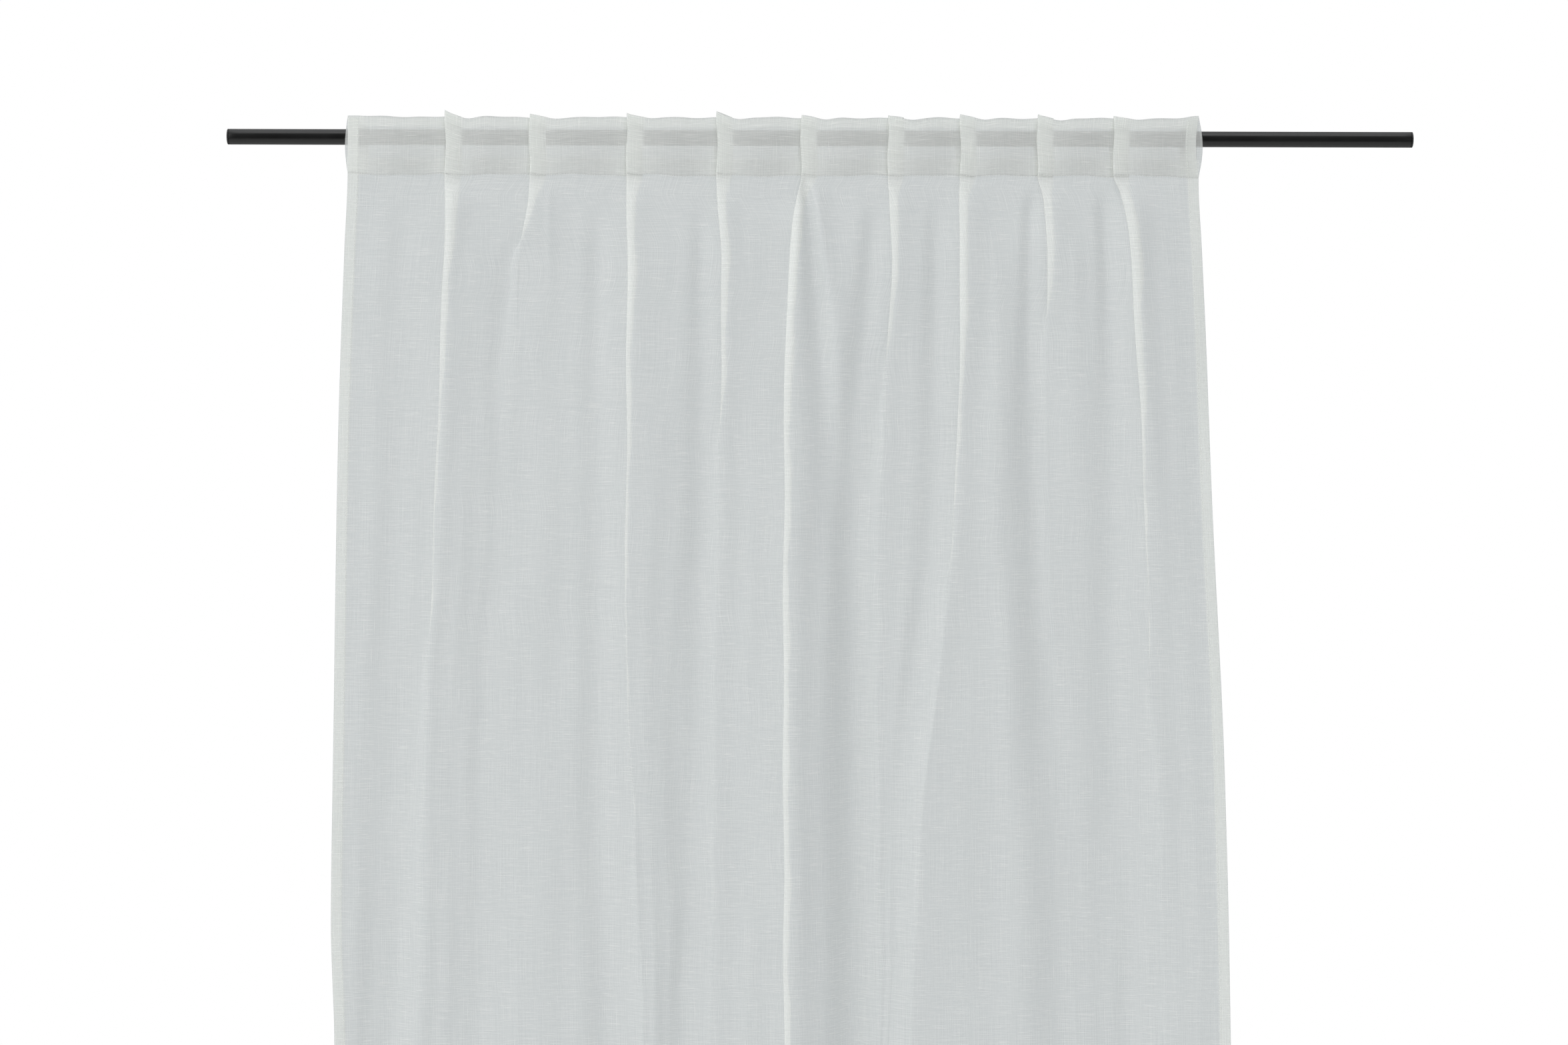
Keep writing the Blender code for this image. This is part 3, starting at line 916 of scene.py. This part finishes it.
class CURTAIN_OT_side_hems(bpy.types.Operator):
    """Makes the double-turned hems down both side edges"""

    bl_idname = "curtain.side_hems"
    bl_label = "Side hems"

    def execute(self, context):
        levels = face_levels()
        # Across one hem: how far in from the edge, and how far behind the face
        inward = np.array([0.0002, 0.003, 0.007, 0.011, SIDE_HEM - 0.0003, SIDE_HEM + 0.0002,
                           SIDE_HEM - 0.0003, 0.011, 0.007, 0.003, 0.0008])
        behind = np.array([0.0002, 0.0005, 0.0005, 0.0005, 0.0004, 0.0007,
                           0.0010, 0.0010, 0.0010, 0.0010, 0.0009])
        for side, strip in (("left", 0), ("right", SECTION_COUNT)):
            points = np.zeros((len(levels), len(inward), 3))
            uv = np.zeros((len(levels), len(inward), 2))
            turned = np.concatenate([[0], np.cumsum(np.hypot(np.diff(inward), np.diff(behind)))])
            for row, level in enumerate(levels):
                s = level.inward(inward, side)
                across, towards_back = normals_of(level.x, level.y)
                points[row] = level.at(s)
                points[row, :, 0] += behind * np.interp(s, ACROSS, across)
                points[row, :, 1] += behind * np.interp(s, ACROSS, towards_back)
                uv[row, :, 0] = -0.3 - turned
                uv[row, :, 1] = level.down
            if side == "right":
                points, uv = points[:, ::-1], uv[:, ::-1]
            name = f"side_hem_{side}_turned"
            obj = add_piece(name, grid_mesh(name, points, uv), slub_voile())
            carry(obj, strip)
            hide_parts(f"side_hem_{side}")
        return {"FINISHED"}


def tab_line():
    """A hidden tab's path from above the rod, round the rod's back, to the heading's seam, as (y, z)."""
    lap_y = TABS[3][0].y + 0.0005
    radius = ROD_RADIUS + 0.0008
    low_z = SEAM_Z + 0.0073
    reach = math.hypot(lap_y, low_z)
    leaves = math.atan2(low_z, lap_y) + math.acos(radius / reach)
    turns = np.linspace(math.pi / 2, leaves, 30)
    corners = [(lap_y, radius + 0.007), (lap_y, radius + 0.0015), (lap_y + 0.0015, radius)]
    corners += [(radius * math.cos(turn), radius * math.sin(turn)) for turn in turns]
    corners += [(lap_y + 0.0004, low_z), (lap_y, low_z - 0.002), (lap_y, SEAM_Z + 0.0004)]
    return np.array(corners)


def even_line(points, step):
    """Points along a line, about step apart."""
    run = np.concatenate([[0], np.cumsum(np.linalg.norm(np.diff(points, axis=0), axis=1))])
    at = np.linspace(0, run[-1], max(2, round(run[-1] / step)) + 1)
    return np.stack([np.interp(at, run, axis) for axis in points.T], 1), at


class CURTAIN_OT_tabs(bpy.types.Operator):
    """Makes the eleven hidden tabs: straps of folded voile round the rod's back"""

    bl_idname = "curtain.tabs"
    bl_label = "Hidden tabs"

    def execute(self, context):
        line, down = even_line(tab_line(), 0.0015)
        dy, dz = np.gradient(line[:, 0]), np.gradient(line[:, 1])
        length = np.hypot(dy, dz)
        out_y, out_z = -dz / length, dy / length
        half = TAB_WIDTH / 2 - 0.0003
        # Across a strap: its outer ply, with both edges turned in to meet along the middle of its inner side
        bend = half - 0.0006
        across = np.array([-0.0006, -half * 0.5, -bend, -half, -bend, -half * 0.6, -half * 0.2,
                           half * 0.2, half * 0.6, bend, half, bend, half * 0.5, 0.0006])
        inner = np.array([-1, -1, -0.9, 0, 0.9, 1, 1, 1, 1, 0.9, 0, -0.9, -1, -1]) * 0.00022
        turned = np.concatenate([[0], np.cumsum(np.hypot(np.diff(across), np.diff(inner)))])
        for tab, x in enumerate(TAB_X):
            wave = 0.0004 * np.sin(down * 95 + tab)
            points = np.zeros((len(line), len(across), 3))
            uv = np.zeros((len(line), len(across), 2))
            points[:, :, 0] = x + across + wave[:, None]
            points[:, :, 1] = line[:, :1] + out_y[:, None] * -inner
            points[:, :, 2] = line[:, 1:] + out_z[:, None] * -inner
            uv[:, :, 0] = 2.0 + 0.1 * tab + turned
            uv[:, :, 1] = down[:, None]
            name = f"tab_strap_{tab + 1:02d}"
            obj = add_piece(name, grid_mesh(name, points, uv), slub_voile())
            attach(obj, f"section_{max(1, tab):02d}")
            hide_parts(f"hidden_tab_{tab + 1:02d}")
        return {"FINISHED"}


def turned_mesh(name, profile, steps):
    """A solid of revolution about X, from a closed profile of (x, radius)."""
    angles = np.arange(steps) * 2 * math.pi / steps
    profile = np.array(profile)
    count = len(profile)
    points = np.zeros((steps, count, 3))
    points[:, :, 0] = profile[:, 0]
    points[:, :, 1] = np.cos(angles)[:, None] * profile[:, 1]
    points[:, :, 2] = np.sin(angles)[:, None] * profile[:, 1]
    faces = []
    for step in range(steps):
        for i in range(count):
            a, b = step * count + i, step * count + (i + 1) % count
            c, d = ((step + 1) % steps) * count + (i + 1) % count, ((step + 1) % steps) * count + i
            faces.append((a, d, c, b))
    mesh = bpy.data.meshes.new(name)
    mesh.from_pydata(points.reshape(-1, 3).tolist(), [], faces)
    work = bmesh.new()
    work.from_mesh(mesh)
    bmesh.ops.remove_doubles(work, verts=work.verts, dist=1e-6)
    bmesh.ops.recalc_face_normals(work, faces=work.faces)
    work.to_mesh(mesh)
    work.free()
    mesh.shade_smooth()
    mesh.set_sharp_from_angle(angle=math.radians(50))
    return mesh


def rounded(corner_x, corner_r, edge, toward_x, toward_r):
    """Three points that round a corner whose sides run off along X and along the radius."""
    near = edge * 0.29
    return [(corner_x + toward_x * edge, corner_r), (corner_x + toward_x * near, corner_r + toward_r * near),
            (corner_x, corner_r + toward_r * edge)]


class CURTAIN_OT_rod(bpy.types.Operator):
    """Makes the coated tube and its two push-in end plugs"""

    bl_idname = "curtain.rod"
    bl_label = "Rod"

    def execute(self, context):
        settings = context.scene.curtain_rod
        low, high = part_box("rod_tube")
        bore = ROD_RADIUS - ROD_WALL
        edge = settings.edge
        outside = rounded(low.x, ROD_RADIUS, edge, 1, -1)[::-1]
        outside += rounded(high.x, ROD_RADIUS, edge, -1, -1)
        # Rows along the tube keep its faces from being long slivers.
        middle = [(x, ROD_RADIUS) for x in np.linspace(low.x + 0.01, high.x - 0.01, 40)]
        profile = outside[:3] + middle + outside[3:] + [(high.x, bore), (low.x, bore)]
        mesh = turned_mesh("rod_tube_coated", profile, settings.steps)
        tube = add_piece("rod_tube_coated", mesh, powder_coat())
        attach(tube, "rod")
        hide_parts("rod_tube")
        plastic = moulded_plug()
        for side, sign in (("left", -1), ("right", 1)):
            plug_low, plug_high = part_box(f"rod_end_plug_{side}")
            end = sign * max(abs(plug_low.x), abs(plug_high.x))
            head = end - sign * PLUG_HEAD
            tip = sign * min(abs(plug_low.x), abs(plug_high.x))
            spigot = bore - 0.0004
            profile = [(tip, 0.0), (tip, spigot - edge), (tip + sign * edge, spigot), (head, spigot),
                       (head, ROD_RADIUS)]
            profile += rounded(end, ROD_RADIUS, edge * 1.4, -sign, -1)
            # The moulded face is dished a little, with a gate mark in the middle.
            profile += [(end, 0.0070), (end - sign * 0.0004, 0.0062), (end - sign * 0.0004, 0.0012),
                        (end - sign * 0.0001, 0.0008), (end - sign * 0.0001, 0.0)]
            name = f"rod_end_plug_{side}_moulded"
            plug = add_piece(name, turned_mesh(name, profile, settings.steps), plastic)
            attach(plug, "rod")
            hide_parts(f"rod_end_plug_{side}")
        return {"FINISHED"}


# ---------------------------------------------------------------- stitching


def stitch_mesh(settings):
    """One stitch lying along X: a short rod of thread, bent so that both ends dip into the cloth."""
    # Each ring's place along the stitch, its thickness and its height, as shares of the length and radius
    rings = ((-0.5, 0.35, -0.9), (-0.3, 0.9, 0.1), (0.0, 1.0, 0.5), (0.3, 0.9, 0.1), (0.5, 0.35, -0.9))
    sides = 5
    points, faces = [], []
    for at, size, lift in rings:
        for turn in range(sides):
            angle = 2 * math.pi * turn / sides
            points.append((at * settings.length, math.cos(angle) * size * settings.thread,
                           (math.sin(angle) * size + lift) * settings.thread))
    for ring in range(len(rings) - 1):
        for turn in range(sides):
            a, b = ring * sides + turn, ring * sides + (turn + 1) % sides
            faces.append((a, a + sides, b + sides, b))
    faces.append(tuple(range(sides)))
    last = (len(rings) - 1) * sides
    faces.append(tuple(range(last + sides - 1, last - 1, -1)))
    mesh = bpy.data.meshes.new("stitch_shape")
    mesh.from_pydata(points, [], faces)
    mesh.shade_smooth()
    return mesh


def stitch_tree(material):
    """Geometry nodes that lay stitches along lines. The attribute "outward" of a line's points is the
    direction out of the cloth, which the stitches face."""
    tree = bpy.data.node_groups.new("stitch_line", "GeometryNodeTree")
    sockets = {}
    for name, kind in (("Line", "NodeSocketGeometry"), ("Stitch", "NodeSocketObject"),
                       ("Pitch", "NodeSocketFloat"), ("Seed", "NodeSocketInt")):
        sockets[name] = tree.interface.new_socket(name, in_out="INPUT", socket_type=kind)
    tree.interface.new_socket("Stitches", in_out="OUTPUT", socket_type="NodeSocketGeometry")
    given = add_node(tree, "NodeGroupInput")
    curve = add_node(tree, "GeometryNodeMeshToCurve", {"Mesh": given.outputs["Line"]})
    dots = add_node(tree, "GeometryNodeResampleCurve",
                    {"Curve": curve.outputs[0], "Length": given.outputs["Pitch"]}, mode="LENGTH")
    outward = add_node(tree, "GeometryNodeInputNamedAttribute", {"Name": "outward"},
                       data_type="FLOAT_VECTOR")
    tangent = add_node(tree, "GeometryNodeInputTangent")
    along = add_node(tree, "FunctionNodeAlignRotationToVector", {"Vector": tangent.outputs[0]}, axis="X")
    turned = add_node(tree, "FunctionNodeAlignRotationToVector",
                      {"Rotation": along.outputs[0], "Vector": outward.outputs["Attribute"]},
                      axis="Z", pivot_axis="X")
    size = add_node(tree, "FunctionNodeRandomValue",
                    {"Min": (0.92, 0.9, 0.9), "Max": (1.05, 1.1, 1.1), "Seed": given.outputs["Seed"]},
                    data_type="FLOAT_VECTOR")
    shape = add_node(tree, "GeometryNodeObjectInfo", {"Object": given.outputs["Stitch"]})
    placed = add_node(tree, "GeometryNodeInstanceOnPoints",
                      {"Points": dots.outputs[0], "Instance": shape.outputs["Geometry"],
                       "Rotation": turned.outputs[0], "Scale": size.outputs["Value"]})
    real = add_node(tree, "GeometryNodeRealizeInstances", {"Geometry": placed.outputs[0]})
    coated = add_node(tree, "GeometryNodeSetMaterial", {"Geometry": real.outputs[0], "Material": material})
    add_node(tree, "NodeGroupOutput", {0: coated.outputs[0]})
    return tree, {name: socket.identifier for name, socket in sockets.items()}


def sew(name, lines, seed):
    """Stitches along lines, as one plain mesh. Each line is (points, directions out of the cloth)."""
    settings = bpy.context.scene.curtain_stitch
    if "tree" not in _made:
        _made["tree"] = stitch_tree(sewing_thread())
        _made["stitch"] = bpy.data.objects.new("stitch_shape", stitch_mesh(settings))
    tree, identifiers = _made["tree"]
    points, edges, outward = [], [], []
    for line, directions in lines:
        edges += [(len(points) + i, len(points) + i + 1) for i in range(len(line) - 1)]
        points += list(map(tuple, line))
        outward += list(map(tuple, directions))
    guide = bpy.data.meshes.new(name + "_guide")
    guide.from_pydata(points, edges, [])
    layer = guide.attributes.new("outward", "FLOAT_VECTOR", "POINT")
    layer.data.foreach_set("vector", np.array(outward, np.float32).ravel())
    holder = bpy.data.objects.new(name + "_guide", guide)
    bpy.context.scene.collection.objects.link(holder)
    modifier = holder.modifiers.new("stitches", "NODES")
    modifier.node_group = tree
    modifier[identifiers["Stitch"]] = _made["stitch"]
    modifier[identifiers["Pitch"]] = settings.pitch
    modifier[identifiers["Seed"]] = seed
    graph = bpy.context.evaluated_depsgraph_get()
    mesh = bpy.data.meshes.new_from_object(holder.evaluated_get(graph), depsgraph=graph)
    holder.modifiers.clear()
    bpy.data.objects.remove(holder)
    if not mesh.polygons:
        raise RuntimeError(f"{name}: no stitches were made")
    mesh.name = name
    return add_piece(name, mesh, sewing_thread())


def line_on(level, start, end, lift, step=0.002):
    """A line across one level, from start to end along the cloth, on the front of the cloth."""
    s = np.linspace(start, end, max(3, round((end - start) / step)))
    across, towards_back = normals_of(level.x, level.y)
    out = np.stack([-np.interp(s, ACROSS, across), -np.interp(s, ACROSS, towards_back), np.zeros_like(s)], 1)
    return level.at(s) + lift * out, out


def line_down(levels, distance, side, lift):
    """A line down the front of the cloth, at a distance from a side edge."""
    points, out = [], []
    for level in levels:
        s = float(level.inward(distance, side))
        line, direction = line_on(level, s - 0.0005, s + 0.0005, lift, 0.0005)
        points.append(line[1])
        out.append(direction[1])
    return np.array(points), np.array(out)


class CURTAIN_OT_stitching(bpy.types.Operator):
    """Sews the heading's seam, the bottom hem, the side hems and the hidden tabs"""

    bl_idname = "curtain.stitching"
    bl_label = "Stitching"

    def execute(self, context):
        lift = context.scene.curtain_stitch.thread * 0.6
        levels, cuts = cloth()
        faces = [row for row, level in enumerate(levels) if level.part.startswith("face")]
        seam_row = [row for row in faces if levels[row].part == "face heading"][-1]
        hem_row = min(faces, key=lambda row: abs(levels[row].z.mean() - HEM_Z - 0.003))
        face = face_levels()
        for strip in range(SECTION_COUNT + 1):
            lines = [line_on(levels[row], cuts[row, strip] + 0.002, cuts[row, strip + 1] - 0.002, lift)
                     for row in (seam_row, hem_row)]
            if strip == 0:
                lines.append(line_down(face, SIDE_HEM - 0.0015, "left", lift))
            if strip == SECTION_COUNT:
                lines.append(line_down(face, SIDE_HEM - 0.0015, "right", lift))
            obj = sew(f"stitching_{strip + 1:02d}", lines, strip)
            carry(obj, strip)
        start_y, start_z = tab_line()[0]
        behind = start_y + 0.0004
        half = TAB_WIDTH / 2 - 0.002
        for tab, x in enumerate(TAB_X):
            lines = []
            for z in (start_z - 0.002, SEAM_Z + 0.0025):
                row = np.array([(x - half, behind, z), (x, behind, z), (x + half, behind, z)])
                lines.append((row, np.array([(0.0, 1.0, 0.0)] * 3)))
            obj = sew(f"tab_stitching_{tab + 1:02d}", lines, 50 + tab)
            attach(obj, f"section_{max(1, tab):02d}")
        return {"FINISHED"}


class CURTAIN_OT_stage(bpy.types.Operator):
    """Makes the pale floor, the soft lights, the surroundings and the camera"""

    bl_idname = "curtain.stage"
    bl_label = "Stage"

    def execute(self, context):
        settings = context.scene.curtain_stage
        context.scene.view_settings.view_transform = "Standard"
        # Light goes to and fro between the heading's many plies.
        context.scene.cycles.diffuse_bounces = 8
        make_floor()
        make_surroundings()
        make_lights(settings)
        make_camera(settings)
        return {"FINISHED"}


def make_floor():
    """A pale matt floor just under the curtain."""
    reach = 3.2
    mesh = bpy.data.meshes.new("floor")
    level = BOTTOM_Z - 0.02
    corners = [(x * reach, y * reach, level) for x, y in ((-1, -1), (1, -1), (1, 1), (-1, 1))]
    mesh.from_pydata(corners, [], [(0, 1, 2, 3)])
    material, tree = new_material("painted_studio_floor")
    place = add_node(tree, "ShaderNodeTexCoord").outputs["Object"]
    mottle = add_node(tree, "ShaderNodeTexNoise", {"Vector": place, "Scale": 3.0, "Detail": 6.0})
    shade = add_node(tree, "ShaderNodeMix", {"Factor": mottle.outputs["Fac"], "A": linear("E9E9E7"),
                                             "B": linear("EFEFED")}, data_type="RGBA")
    # Through the cloth the floor looks as grey as the rest of the surroundings do.
    rays = add_node(tree, "ShaderNodeLightPath")
    passed = add_node(tree, "ShaderNodeMath", {0: rays.outputs["Transparent Depth"], 1: 0.5},
                      operation="GREATER_THAN")
    seen = add_node(tree, "ShaderNodeMath", {0: passed.outputs[0], 1: rays.outputs["Is Camera Ray"]},
                    operation="MULTIPLY")
    shade = add_node(tree, "ShaderNodeMix", {"Factor": seen.outputs[0], "A": shade.outputs["Result"],
                                             "B": SEEN_THROUGH}, data_type="RGBA")
    shader = tree.nodes["Principled BSDF"]
    tree.links.new(shade.outputs["Result"], shader.inputs["Base Color"])
    shader.inputs["Roughness"].default_value = 0.8
    add_piece("studio_floor", mesh, material)


def make_surroundings():
    """White surroundings. What is seen through the cloth is drawn greyer than what is seen beside it. Most
    light comes from the left, the front and above."""
    world = bpy.data.worlds.new("studio")
    bpy.context.scene.world = world
    world.use_nodes = True
    tree = world.node_tree
    tree.nodes.clear()
    rays = add_node(tree, "ShaderNodeLightPath")
    place = add_node(tree, "ShaderNodeTexCoord").outputs["Generated"]
    toward = add_node(tree, "ShaderNodeVectorMath", {0: place, 1: (-0.55, -0.62, 0.56)},
                      operation="DOT_PRODUCT")
    soft = add_node(tree, "ShaderNodeMapRange", {"Value": toward.outputs["Value"], "From Min": -0.5,
                                                 "From Max": 1.0, "To Min": 0.04, "To Max": 1.34})
    # A polished surface reflects the panels overhead and the dark room in front.
    up = add_node(tree, "ShaderNodeSeparateXYZ", {"Vector": place}).outputs["Z"]
    panels = add_node(tree, "ShaderNodeMapRange", {"Value": up, "From Min": 0.55, "From Max": 0.90,
                                                   "To Min": 0.02, "To Max": 1.20})
    level = add_node(tree, "ShaderNodeMix", {"Factor": rays.outputs["Is Glossy Ray"],
                                             "A": soft.outputs["Result"],
                                             "B": panels.outputs["Result"]}).outputs["Result"]
    light = add_node(tree, "ShaderNodeBackground", {"Color": linear("FCFDFF"), "Strength": level})
    white = add_node(tree, "ShaderNodeBackground", {"Color": (1, 1, 1, 1), "Strength": 1.0})
    behind = add_node(tree, "ShaderNodeBackground", {"Color": SEEN_THROUGH, "Strength": 1.0})
    passed = add_node(tree, "ShaderNodeMath", {0: rays.outputs["Transparent Depth"], 1: 0.5},
                      operation="GREATER_THAN")
    seen = add_node(tree, "ShaderNodeMixShader", {0: passed.outputs[0], 1: white.outputs[0],
                                                  2: behind.outputs[0]})
    mixed = add_node(tree, "ShaderNodeMixShader", {0: rays.outputs["Is Camera Ray"], 1: light.outputs[0],
                                                   2: seen.outputs[0]})
    add_node(tree, "ShaderNodeOutputWorld", {"Surface": mixed.outputs[0]})


def add_light(name, location, target, size, power):
    """A soft rectangular light that looks at target."""
    data = bpy.data.lights.new(name, "AREA")
    data.shape = "RECTANGLE"
    data.size, data.size_y = size
    data.energy = power
    obj = bpy.data.objects.new(name, data)
    bpy.context.scene.collection.objects.link(obj)
    obj.location = location
    aim = np.array(target) - np.array(location)
    obj.rotation_euler = Vector(aim).to_track_quat("-Z", "Y").to_euler()


def make_lights(settings):
    """A large soft light on the left, a weaker one on the right, and one above the rod."""
    add_light("key_light", (-2.6, -1.9, 0.3), (0, 0, -0.8), (1.2, 2.6), settings.key_power)
    add_light("fill_light", (2.4, -3.2, 0.0), (0, 0, -0.8), (1.8, 2.4), settings.fill_power)
    add_light("top_light", (0.0, -0.9, 1.9), (0, 0, 0), (2.4, 0.6), settings.top_power)


def make_camera(settings):
    """Straight in front of the curtain, turned by the rod's slight slope."""
    data = bpy.data.cameras.new("camera")
    obj = bpy.data.objects.new("camera", data)
    bpy.context.scene.collection.objects.link(obj)
    data.sensor_width = 36.0
    data.lens = data.sensor_width * settings.distance / settings.view_width
    obj.location = (-0.045, -settings.distance, -0.495)
    obj.rotation_euler = (math.radians(90), math.radians(-0.156), 0)
    bpy.context.scene.camera = obj


# ---------------------------------------------------------------- sidebar and start


OPERATORS = (CURTAIN_OT_cloth, CURTAIN_OT_stay, CURTAIN_OT_side_hems, CURTAIN_OT_rod, CURTAIN_OT_tabs,
             CURTAIN_OT_stitching, CURTAIN_OT_stage)


class CURTAIN_PT_panel(bpy.types.Panel):
    """Lists the curtain's sizes and pieces."""

    bl_idname = "CURTAIN_PT_panel"
    bl_label = "Curtain"
    bl_space_type = "VIEW_3D"
    bl_region_type = "UI"
    bl_category = "Curtain"

    def draw(self, context):
        for group in SETTINGS:
            box = self.layout.box()
            settings = getattr(context.scene, group)
            for name in settings.__annotations__:
                box.prop(settings, name)
        for operator in OPERATORS:
            self.layout.operator(operator.bl_idname)


SETTINGS = {"curtain_cloth": ClothSettings, "curtain_stitch": StitchSettings, "curtain_rod": RodSettings,
            "curtain_stage": StageSettings}
CLASSES = (*SETTINGS.values(), *OPERATORS, CURTAIN_PT_panel)


def register():
    """Adds the classes and each group of settings to the scene."""
    for cls in CLASSES:
        bpy.utils.register_class(cls)
    for name, cls in SETTINGS.items():
        setattr(bpy.types.Scene, name, PointerProperty(type=cls))


def unregister():
    """Takes the settings and the classes away again."""
    for name in SETTINGS:
        delattr(bpy.types.Scene, name)
    for cls in reversed(CLASSES):
        bpy.utils.unregister_class(cls)


def main():
    """Makes the curtain and its stage."""
    register()
    bpy.ops.curtain.cloth()
    bpy.ops.curtain.stay()
    bpy.ops.curtain.side_hems()
    bpy.ops.curtain.rod()
    bpy.ops.curtain.tabs()
    bpy.ops.curtain.stitching()
    bpy.ops.curtain.stage()


if __name__ == "__main__":
    main()
